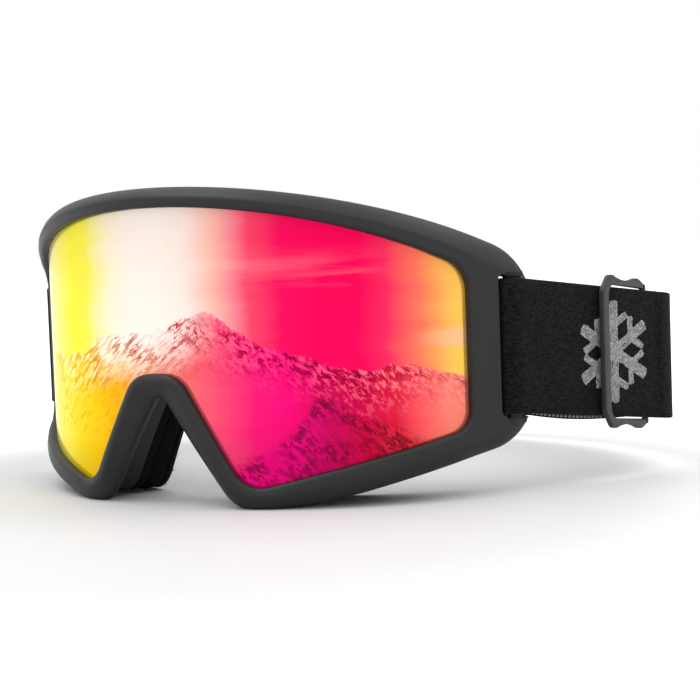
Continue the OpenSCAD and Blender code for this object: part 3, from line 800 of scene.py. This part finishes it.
# ---- lenses
def lens_sheet(node, r_out, r_in, material):
    """Cylindrical lens of straight columns, with its place on the unrolled cylinder as UV."""
    half = LENS_EDGE.grow(GROOVE_D - 0.6).half()
    turn = int(np.argmax(half[:, 0]))
    side_end = max(i for i in range(len(half)) if half[i, 0] > half[turn, 0] - 1e-6)
    lower, upper = half[: turn + 1], half[side_end:][::-1]
    least_gap = 0.12
    keep = [0.0]
    for u in np.unique(np.round(np.concatenate([lower[:, 0], upper[:, 0]]), 2))[1:]:
        if u - keep[-1] >= least_gap:
            keep.append(u)
    keep[-1] = half[turn, 0]
    u = np.array(keep)
    u = np.concatenate([-u[:0:-1], u])
    z_low, z_high = (np.interp(np.abs(u), edge[:, 0], edge[:, 1]) for edge in (lower, upper))
    n = len(u)
    bevel = 0.25
    rows = [(r_in, z_low + bevel), (r_in + bevel, z_low), (r_out - bevel, z_low),
            (r_out, z_low + bevel), (r_out, z_high - bevel), (r_out - bevel, z_high),
            (r_in + bevel, z_high), (r_in, z_high - bevel)]
    points = np.concatenate([on_cylinder(u, z, r) for r, z in rows])
    uv = np.concatenate([np.column_stack([u, z]) for _, z in rows])
    faces = grid_faces(len(rows), n, wrap_columns=False)
    for end in (0, n - 1):
        faces.append(tuple(j * n + end for j in range(len(rows))))
    obj = make(f"{node}_sheet", points, faces, material, uv, sharp=30)
    stand_for(obj, node, "goggle_body")


lens_sheet("outer_lens", LENS_R, OUTER_BACK_R, MIRROR)
lens_sheet("inner_lens", INNER_FRONT_R, INNER_BACK_R, CLEAR)


# ---- face foam
FOAM_T = sum(FOAM_LAYERS)


def foam_level(depth):
    """The pad's outline, radius and gain at a depth behind the flange."""
    f = depth / FOAM_T
    gain = WALL_GAIN + (FOAM_GAIN - WALL_GAIN) * f
    return FOAM_FRONT.mix(FOAM_BACK, f), FLANGE_R - depth, gain


def foam_rings(depth_1, depth_2, round_front, round_back, crown):
    """Section of one foam layer, with a crown on its back when it is the lining."""
    depths = (depth_1, (depth_1 + depth_2) / 2, depth_2)
    (front, r1, gain_1), (middle, r, gain), (back, r2, gain_2) = map(foam_level, depths)
    swell = min(0.35, (depth_2 - depth_1) * 0.06)
    draw_in = 0.15
    return [
        (front.grow(-draw_in), r1, gain_1, round_front),
        (middle.grow(swell), r, gain, 0),
        (back.grow(-draw_in), r2, gain_2, round_back),
        (back.grow(-FOAM_W / 3), r2 - crown, gain_2, 0),
        (back.grow(-2 * FOAM_W / 3), r2 - crown, gain_2, 0),
        (back.grow(draw_in - FOAM_W), r2, gain_2, round_back),
        (middle.grow(-FOAM_W - swell), r, gain, 0),
        (front.grow(draw_in - FOAM_W), r1, gain_1, round_front),
    ]


def build_foam(name, node, depth_1, depth_2, material, rounds, crown=0.0):
    points = placed(loft(foam_rings(depth_1, depth_2, *rounds, crown)))
    obj = closed_surface(name, points, material, sharp=60)
    stand_for(obj, node, "goggle_body")
    return points


D1 = FOAM_LAYERS[0]
D2 = D1 + FOAM_LAYERS[1]
build_foam("face_foam_firm", "foam_base", 0.1, D1, FOAM_FIRM, (0.3, 0.6))
build_foam("face_foam_soft", "foam_core", D1 + 0.1, D2, FOAM_SOFT, (1.2, 1.2))
fleece_points = build_foam("face_fleece", "foam_fleece", D2 + 0.1, FOAM_T, FLEECE,
                           (0.6, 1.4), crown=0.5)


def build_pile(points, count, seed):
    """Short brushed fibres on the fleece, each a thin three-sided spike."""
    rng = np.random.default_rng(seed)
    rows, columns = points.shape[:2]
    j = rng.integers(0, rows, count)
    i = rng.integers(0, columns, count)
    a = points[j, i]
    b = points[(j + 1) % rows, i]
    c = points[j, (i + 1) % columns]
    centre = points.mean(0)[i]
    normal = np.cross(b - a, c - a)
    size = np.linalg.norm(normal, axis=1)
    good = size > 1e-4
    a, b, c, centre, normal = (v[good] for v in (a, b, c, centre, normal))
    normal = unit(normal)
    normal *= np.sign(np.sum(normal * (a - centre), axis=1, keepdims=True))
    f, g = rng.random((2, len(a), 1))
    sunk, tousle, width = 0.1, 0.55, 0.05
    root = a + (b - a) * f + (c - a) * g - normal * sunk
    lean = unit(normal + rng.normal(0, tousle, normal.shape))
    side = unit(np.cross(lean, rng.normal(0, 1, lean.shape)))
    other = np.cross(lean, side)
    length = rng.uniform(0.5, 1.5, (len(a), 1))
    ring = [root + width * (side * math.cos(t) + other * math.sin(t))
            for t in (0, 2 * math.pi / 3, 4 * math.pi / 3)]
    tip = root + lean * length
    tip[:, 2] = np.maximum(tip[:, 2], 0.1)
    spikes = np.stack([*ring, tip], 1).reshape(-1, 3)
    faces = []
    for k in range(len(a)):
        o = 4 * k
        faces += [(o, o + 1, o + 3), (o + 1, o + 2, o + 3), (o + 2, o, o + 3), (o + 2, o + 1, o)]
    obj = make("fleece_pile", spikes, faces, PILE, sharp=80)
    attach(obj, "goggle_body")


build_pile(fleece_points, 9000, 5)


# ---- strap
def strip(path, low, s, inset=0.0):
    """Band of webbing: path is its middle line seen from above, low the height of its lower edge,
    s the distance along it and inset how far both edges are drawn in. Returns points, faces and
    UV."""
    edge, across, selvedge, selvedge_w, other_face_v = 0.55, 10, 0.06, 1.1, 47.3
    width = STRAP_W
    path, low, s = (np.asarray(v, float) for v in (path, low, s))
    tangent = unit(np.gradient(path, axis=0))
    normal = np.column_stack([tangent[:, 1], -tangent[:, 0]])
    h = STRAP_T / 2
    ring = []
    for side in (1, -1):
        for v in np.linspace(edge, width - edge, across + 1)[::side]:
            close = min(v, width - v)
            ring.append((side * (h + selvedge * math.exp(-(close / selvedge_w) ** 2)), v))
        for t in np.radians((60, 30, 0, -30, -60)):
            end = edge - edge * math.cos(t)
            ring.append((side * h * math.sin(t), width - end if side > 0 else end))
    ring = np.array(ring)
    m, n = len(path), len(ring)
    points = np.zeros((m, n, 3))
    points[..., :2] = path[:, None] + normal[:, None] * ring[None, :, :1]
    inset = np.broadcast_to(inset, m)[:, None]
    points[..., 2] = low[:, None] + inset + ring[None, :, 1] * (1 - 2 * inset / width)
    uv = np.zeros((m, n, 2))
    uv[..., 0] = s[:, None]
    uv[..., 1] = ring[None, :, 1] + np.where(ring[None, :, 0] < 0, other_face_v, 0)
    points, faces = tube(points)
    return points, faces, uv.reshape(-1, 2)


def sided(side, points, faces):
    """Mirrors a left piece for the right side."""
    if side > 0:
        return points, faces
    return np.asarray(points) * [-1, 1, 1], [tuple(reversed(face)) for face in faces]


def smooth_path(points, step):
    """Catmull-Rom curve through points, at about even steps."""
    p = np.asarray(points, float)
    p = np.concatenate([[2 * p[0] - p[1]], p, [2 * p[-1] - p[-2]]])
    out = []
    for k in range(1, len(p) - 2):
        n = max(2, int(round(np.linalg.norm(p[k + 1] - p[k]) / step)))
        m0, m1 = (p[k + 1] - p[k - 1]) / 2, (p[k + 2] - p[k]) / 2
        for f in np.linspace(0, 1, n, endpoint=False):
            out.append(p[k] * (1 + 2 * f) * (1 - f) ** 2 + m0 * f * (1 - f) ** 2
                       + p[k + 1] * f * f * (3 - 2 * f) + m1 * f * f * (f - 1))
    out.append(p[-2])
    return np.array(out)


def distance_along(path):
    return np.concatenate([[0], np.cumsum(np.linalg.norm(np.diff(path, axis=0), axis=1))])


def outer_path():
    """The outer layer in (s, t): half round the bar, then straight back to a pressed crease."""
    crease_l, crease_h = 3, 0.6
    start = ARM_L - crease_l
    wrap = [(-WRAP_R * math.sin(a), WRAP_R * math.cos(a)) for a in np.linspace(math.pi, 0, 26)]
    run = [(s, WRAP_R) for s in np.arange(1, start, 1)]
    crease = [(s, WRAP_R + crease_h * math.sin(math.pi / 2 * (s - start) / crease_l) ** 2)
              for s in np.arange(start, ARM_L + 0.01, 0.25)]
    return np.array(wrap + run + crease)


SAG = 1.5
SAG_L = 46


def return_low(s):
    """Height of the returning layer's lower edge."""
    s = np.asarray(s, float)
    sag = np.where(s < SAG_L, SAG * np.sin(np.pi * np.clip(s, 0, SAG_L) / SAG_L), 0)
    return STRAP_Z - DROOP * s - sag


def return_path():
    """The returning layer in (s, t): inside the outer one, round the slider's rear bar and back."""
    fold = [REAR_BAR + FOLD_R * heading(a) for a in np.linspace(math.pi / 2, -math.pi / 2, 9)]
    points = [(0, -WRAP_R), (14, -2.3), (27, -0.9), (SEWN_S, 0.55), (49.2, 1.3), *fold,
              (48.2, -1.75), (44.2, -0.95), (SEWN_S - 2, -1.2)]
    return smooth_path(points, 0.9)


OUTER = outer_path()
OUTER_S = distance_along(OUTER)
RETURN = return_path()

BAR_PITCH = SLIDER_L - SLIDER_BAR / 2 - REAR_BAR_R
SLANT = math.asin((FRONT_BAR_T - REAR_BAR[1]) / BAR_PITCH)
FRONT_BAR = np.array([REAR_BAR[0] - BAR_PITCH * math.cos(SLANT), FRONT_BAR_T])
CREASE_R = 1.6


def webbing_piece(name, side, band, node, body=None):
    points, faces, uv = band
    obj = make(name, *sided(side, points, faces), WEBBING, uv)
    stand_for(obj, node, body)
    return obj


def blend_to_slider(obj):
    """Bakes the placement of a piece of the returning layer into its mesh."""
    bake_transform(obj)


for name, side in SIDES:
    low = STRAP_Z - DROOP * np.maximum(OUTER[:, 0], 0)
    to_end = np.maximum(0, CREASE_R - (ARM_L - OUTER[:, 0]))
    inset = CREASE_R - np.sqrt(CREASE_R ** 2 - np.minimum(to_end, CREASE_R - 0.1) ** 2)
    band = strip(arm_point(OUTER[:, 0], OUTER[:, 1]), low, OUTER_S, inset)
    webbing_piece(f"webbing_outer_{name}", side, band, f"strap_outer_{name}", f"strap_{name}")

    band = strip(arm_point(RETURN[:, 0], RETURN[:, 1]), return_low(RETURN[:, 0]),
                 distance_along(RETURN))
    obj = webbing_piece(f"webbing_return_{name}", side, band, f"strap_return_{name}")
    blend_to_slider(obj)


# ---- head band
def bezier(p, f):
    p = [np.asarray(q, float) for q in p]
    return (p[0] * (1 - f) ** 3 + p[1] * 3 * f * (1 - f) ** 2 + p[2] * 3 * f * f * (1 - f)
            + p[3] * f ** 3)


BAND_BEND = np.array([111.8, 25.6 + AXIS_Y])
BAND_TURN = math.radians(21)
TURNED = np.array([-math.sin(BAND_TURN), math.cos(BAND_TURN)])
BAND_START = arm_point(ARM_L, WRAP_R)
BEND_REACH = 2.4
SIDE_REACH = 45
BACK_REACH = 48
bend_curve = [BAND_START, BAND_START + ALONG * BEND_REACH, BAND_BEND - BEND_REACH * TURNED, BAND_BEND]
back_curve = [BAND_BEND, BAND_BEND + SIDE_REACH * TURNED, (BACK_REACH, BAND_BACK + AXIS_Y),
              (0, BAND_BACK + AXIS_Y)]
HALF_BAND = np.array([bezier(bend_curve, f) for f in np.linspace(0, 1, 14)]
                     + [bezier(back_curve, f) for f in np.linspace(0, 1, 110)[1:]])
BAND_S = distance_along(HALF_BAND)
SAG_FROM = 112
side_low = STRAP_Z - DROOP * ARM_L - 0.104 * BAND_S + 0.00027 * BAND_S ** 2
middle = np.clip((BAND_S - SAG_FROM) / (BAND_S[-1] - SAG_FROM), 0, 1)
BAND_LOW = side_low * (1 - middle ** 2 * (3 - 2 * middle))


def blend_to_arm(obj):
    """Bakes the placement of a piece of the head band into its mesh."""
    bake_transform(obj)


for name, side in SIDES:
    band = strip(HALF_BAND, BAND_LOW, OUTER_S[-1] + BAND_S)
    obj = webbing_piece(f"head_band_{name}", side, band, "strap_rear")
    blend_to_arm(obj)


# ---- silicone grip
def grip_dots(path, low, v_lines, outside, first, last):
    """Rows of printed silicone dashes on one face of a band, as low domes."""
    pitch, row_gap, half_l, half_w = 1.5, 1.15, 0.62, 0.5
    s = distance_along(path)
    tangent = unit(np.gradient(path, axis=0))
    blocks = []
    angles = np.linspace(0, 2 * math.pi, 10, endpoint=False)
    count = int((last - first) / pitch)
    for line in v_lines:
        for k in range(count):
            for row in (0, 1):
                here = first + (k + 0.5 * row) * pitch
                at = np.array([np.interp(here, s, path[:, c]) for c in (0, 1)])
                t = unit(np.array([np.interp(here, s, tangent[:, c]) for c in (0, 1)]))
                out = np.array([t[1], -t[0]]) * (1 if outside else -1)
                z = np.interp(here, s, low) + line + (row - 0.5) * row_gap
                rings = []
                for size, lift in ((1.0, 0.0), (0.92, 0.16), (0.6, 0.3)):
                    du = half_l * size * np.cos(angles)
                    dz = half_w * size * np.sin(angles)
                    xy = at + np.outer(du, t) + out * (STRAP_T / 2 + 0.02 + lift)
                    rings.append(np.column_stack([xy, z + dz]))
                blocks.append(tube(rings))
    return merged(blocks)


front_of_fold = int(np.argmax(RETURN[:, 0] > SEWN_S - 3))
RETURN_RUN = arm_point(RETURN[:front_of_fold, 0], RETURN[:front_of_fold, 1])
for name, side in SIDES:
    dots = grip_dots(RETURN_RUN, return_low(RETURN[:front_of_fold, 0]), (1.5, STRAP_W - 1.9), True,
                     9, 36)
    obj = make(f"grip_print_{name}", *sided(side, *dots), SILICONE, sharp=60)
    stand_for(obj, f"grip_return_{name}")
    blend_to_slider(obj)

    dots = grip_dots(HALF_BAND, BAND_LOW, (6.2, 19.7, 33.2), False, 40, BAND_S[-1] - 0.4)
    obj = make(f"grip_band_{name}", *sided(side, *dots), SILICONE, sharp=60)
    stand_for(obj, "grip_rear")
    blend_to_arm(obj)


# ---- sliders
SLIDER_AT = (FRONT_BAR + REAR_BAR) / 2 + np.array([math.cos(SLANT), -math.sin(SLANT)]) * (
    REAR_BAR_R - SLIDER_BAR / 2) / 2
SLIDER_Z = STRAP_Z + STRAP_W / 2 - DROOP * SLIDER_AT[0]
LEAN = DROOP * math.cos(SLANT)


def softened(points, reach):
    """A line with its corners rounded off."""
    p = np.array(points, float)
    out = [p[0]]
    for corner in zip(p, p[1:], p[2:]):
        out += round_corner(*corner, reach)
    return [tuple(q) for q in out + [p[-1]]]


def slider_loop():
    """Outline of the slider's plate in its own plane; the rear bar closes its open end."""
    x1, y1 = SLIDER_L / 2, SLIDER_H / 2
    corner, scallop_r, scallop_d, r = 4.2, 20, 1.2, 3.5
    half = math.asin(math.sqrt(2 * scallop_r * scallop_d - scallop_d ** 2) / scallop_r)
    top = [(-x1, y1 - corner - 0.8), (-x1 + corner, y1)]
    for a in np.linspace(-half, half, 17):
        top.append((scallop_r * math.sin(a), y1 - scallop_d + scallop_r - scallop_r * math.cos(a)))
    x0, y2 = -x1 + SLIDER_BAR + r, STRAP_W / 2 + 0.5
    top += [(x1 - corner, y1), (x1, y2 + 0.9)]
    top = softened([(-x1, 0), *top, (x1, y2)], 1.6)[1:-1]
    window = [(x1, y2)]
    window += [(x0 + r * math.cos(a), y2 - r + r * math.sin(a))
               for a in np.linspace(math.pi / 2, math.pi, 13)]
    window += [(x, -y) for x, y in window[::-1]]
    loop = top + window + [(x, -y) for x, y in top[::-1]]
    return np.array([(x, y - LEAN * x) for x, y in loop])


def bevelled_plate(name, loop, thick, bevel):
    """Flat plate with softened edges, filled by a 2-D curve and turned into a mesh."""
    curve = bpy.data.curves.new(name, "CURVE")
    curve.dimensions = "2D"
    curve.fill_mode = "BOTH"
    spline = curve.splines.new("POLY")
    spline.points.add(len(loop) - 1)
    for point, (x, y) in zip(spline.points, loop):
        point.co = (x, y, 0, 1)
    spline.use_cyclic_u = True
    curve.extrude = thick / 2 - bevel
    curve.bevel_depth = bevel
    curve.bevel_resolution = 3
    curve.offset = -bevel
    obj = bpy.data.objects.new(name, curve)
    bpy.context.scene.collection.objects.link(obj)
    graph = bpy.context.evaluated_depsgraph_get()
    mesh = bpy.data.meshes.new_from_object(obj.evaluated_get(graph))
    bm = bmesh.new()
    bm.from_mesh(mesh)
    bmesh.ops.remove_doubles(bm, verts=bm.verts, dist=0.002)
    bm.to_mesh(mesh)
    bm.free()
    points = np.array([v.co for v in mesh.vertices])
    faces = [tuple(f.vertices) for f in mesh.polygons]
    bpy.data.objects.remove(obj)
    bpy.data.meshes.remove(mesh)
    return points, faces


def build_slider(name, side):
    plate, faces = bevelled_plate(f"slider_plate_{name}", slider_loop(), SLIDER_T, 0.32)
    s = SLIDER_AT[0] + plate[:, 0] * math.cos(SLANT) + plate[:, 2] * math.sin(SLANT)
    t = SLIDER_AT[1] - plate[:, 0] * math.sin(SLANT) + plate[:, 2] * math.cos(SLANT)
    ring = (np.column_stack([arm_point(s, t), SLIDER_Z + plate[:, 1]]), faces)
    rear_z = SLIDER_Z - LEAN * (SLIDER_L / 2 - REAR_BAR_R)
    reach = (STRAP_W + 4) / 2
    bevel = 0.25
    points, faces = lathe([(-reach, REAR_BAR_R - bevel), (-reach + bevel, REAR_BAR_R),
                           (reach - bevel, REAR_BAR_R), (reach, REAR_BAR_R - bevel)], 28)
    bar = (points + [*arm_point(*REAR_BAR), rear_z], faces)
    obj = make(f"slider_ring_{name}", *sided(side, *merged([ring, bar])), SLIDER, sharp=35)
    stand_for(obj, f"slider_{name}", f"slider_{name}")


for name, side in SIDES:
    build_slider(name, side)


# ---- embroidery and sewing
def stitch(a, b, rise, half_width):
    """One thread from a to b in its own plane, arched by rise, as a thin four-sided tube."""
    arc = 4
    a, b = np.asarray(a, float), np.asarray(b, float)
    d = unit(b - a)
    n = np.array([-d[1], d[0]])
    thick, shoulder, sunk = 0.17, 0.75, -0.05
    rows = []
    for f in np.linspace(0, 1, arc + 1):
        at = a + (b - a) * f
        inside = 0 < f < 1
        h = rise * math.sin(math.pi * f) ** 0.5 if inside else 0.0
        w = half_width * (1 if inside else 0.55)
        rows.append([(*(at - n * w), h * shoulder), (*at, h + thick * inside),
                     (*(at + n * w), h * shoulder), (*at, max(h - thick, sunk))])
    return tube(rows)


def snowflake(rng):
    """Short fill stitches that cover the snowflake's six arms, their barbs and the middle."""
    blocks = []
    lane_w, arm_w, barb_w, barb_l = 0.42, 3.4, 2.5, 6.6

    def fill(start, angle, length, width):
        d = heading(angle)
        n = np.array([-d[1], d[0]])
        lanes = int(width / lane_w)
        for lane in range(lanes):
            y = (lane + 0.5 - lanes / 2) * lane_w
            x = -rng.uniform(0.2, 1.4)
            last = length - 0.5 * (abs(y) / width * 2) ** 2
            while x < last - 0.5:
                x2 = min(x + rng.uniform(1.2, 1.8), last)
                wobble = rng.normal(0, 0.12, 2)
                a = start + d * x + n * (y + wobble[0])
                b = start + d * x2 + n * (y + wobble[1])
                blocks.append(stitch(a, b, 0.2 + rng.uniform(-0.06, 0.06), 0.26))
                x = x2 - 0.12

    for k in range(6):
        angle = k * math.pi / 3 + math.pi / 6
        d = heading(angle)
        fill(d * 0.6, angle, EMBLEM_R - 0.9, arm_w)
        for turn in (1, -1):
            fill(d * EMBLEM_R * 0.5, angle + turn * math.pi / 3, barb_l, barb_w)
    return blocks


def shaded(obj, sizes, rng):
    """Gives each stitch its own shade between 0 and 1."""
    shade = np.concatenate([np.full(n, rng.random()) for n in sizes])
    attribute = obj.data.attributes.new("shade", "FLOAT", "POINT")
    attribute.data.foreach_set("value", shade.astype(np.float32))


def lay_threads(name, side, blocks, rng, middle_s, t, material):
    """A piece of separate threads on the arm. t gives their place from their own height."""
    points, faces = merged(blocks)
    x, y, h = points.T
    z = STRAP_Z + STRAP_W / 2 - DROOP * middle_s + y
    points = np.column_stack([arm_point(middle_s + x, t(h)), z])
    obj = make(name, *sided(side, points, faces), material, sharp=80)
    shaded(obj, [len(block[0]) for block in blocks], rng)
    return obj


def build_emblem(name, side):
    rng = np.random.default_rng(11)
    surface = WRAP_R + STRAP_T / 2 + 0.02
    obj = lay_threads(f"embroidery_{name}", side, snowflake(rng), rng, EMBLEM_S,
                      lambda h: surface + np.clip(h, -0.02, 0.36), EMBROIDERY)
    stand_for(obj, f"emblem_{name}", f"strap_{name}")


def build_sewing(name, side):
    """Three zigzag rows through the webbing's folded end."""
    rng = np.random.default_rng(3)
    blocks = []
    rows, row_gap = 34, 1.6
    for row in range(3):
        for k in range(rows):
            z0, z1 = k - rows / 2, k + 1 - rows / 2
            zig = 0.22 if k % 2 else -0.22
            x = row_gap * row - 1 + zig
            blocks.append(stitch((x, z0), (x - 2 * zig, z1 - 0.1), 0.16, 0.17))
    obj = lay_threads(f"sewing_{name}", side, blocks, rng, SEWN_S,
                      lambda h: -1.25 - STRAP_T / 2 - np.clip(h, 0, 0.4), SEWING)
    stand_for(obj, f"sewn_end_{name}", f"slider_{name}")


for name, side in SIDES:
    build_emblem(name, side)
    build_sewing(name, side)


# ---- CAD nodes that stay
def dress(node, material):
    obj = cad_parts[node]
    obj.data.materials.clear()
    obj.data.materials.append(material)


dress("lens_gasket", GASKET_FOAM)
for node in ("vent_foam_top", "vent_foam_cheek_left", "vent_foam_cheek_right"):
    dress(node, VENT_FOAM)


# ---- floor, light and camera
def build_floor():
    """Pale floor whose painted glow grows away from the goggles, leaving a broad painted shadow round
    them and fading into the white backdrop.
    """
    n = new_material("studio_floor", (0.58, 0.58, 0.585), 0.6, 0.1)
    grain = n.noise(at=n.place(40))
    # painted light: no glow within glow_from of the middle, full glow at glow_full, so the floor round
    # the goggles is a painted shadow
    middle, glow_from, glow_full = (0, -85, 0), 115, 280
    reach = n.add("VectorMath", {0: n.place(), 1: middle}, operation="DISTANCE").outputs["Value"]
    n.look({"Roughness": n.band(grain, 0.3, 0.7, 0.55, 0.65),
            "Base Color": (0.555, 0.56, 0.565, 1), "Emission Color": (1, 1, 1, 1),
            "Emission Strength": n.times(n.band(reach, glow_from, glow_full, smooth=True), 0.55)})
    size = 6000
    points = [(-size, -size, 0), (size, -size, 0), (size, size, 0), (-size, size, 0)]
    floor = make("studio_floor", points, [(0, 1, 2, 3)], n.owner)
    floor.location.z = -0.0001


def build_world():
    """White all round, and brighter overhead."""
    world = bpy.data.worlds.new("studio")
    n = Nodes(world, "Background")
    upward = n.add("SeparateXYZ", {0: n.add("TexCoord").outputs["Generated"]}).outputs["Z"]
    level, overhead = 1.0, 1.8
    strength = n.band(upward, 0.25, 0.95, level, overhead, smooth=True)
    n.look({"Color": (1, 1, 1, 1), "Strength": strength})
    bpy.context.scene.world = world


def add_at(name, data, right, back, at):
    """Adds a lamp or a camera that looks away from back, with its right-hand side given."""
    obj = bpy.data.objects.new(name, data)
    bpy.context.scene.collection.objects.link(obj)
    columns = np.column_stack([right, np.cross(back, right), back, at])
    obj.matrix_world = Matrix([*columns.tolist(), (0, 0, 0, 1)])
    return obj


def build_light(name, at, size, power):
    data = bpy.data.lights.new(name, "AREA")
    data.shape = "DISK"
    data.size = size
    data.energy = power
    back = unit(np.array(at, float) - (0, 0, 0.04))
    add_at(name, data, unit(np.cross((0, 0, 1), back)), back, at)


def build_camera():
    azimuth, elevation, roll = (math.radians(v) for v in (32.27, 3.595, 2.04))
    back = np.array([math.sin(azimuth) * math.cos(elevation),
                     -math.cos(azimuth) * math.cos(elevation), math.sin(elevation)])
    level = np.array([math.cos(azimuth), math.sin(azimuth), 0])
    right = level * math.cos(roll) - np.cross(back, level) * math.sin(roll)
    data = bpy.data.cameras.new("camera")
    data.sensor_width = 36
    data.lens = 87.43
    data.clip_start = 0.02
    bpy.context.scene.camera = add_at("camera", data, right, back, (0.31205, -0.4787, 0.075))


build_floor()
build_world()
build_light("key", (-0.35, -0.45, 1.2), 0.6, 4)
build_light("rim", (0.7, 0.45, 1.0), 0.6, 3)
build_camera()
bpy.context.scene.view_settings.view_transform = "Standard"
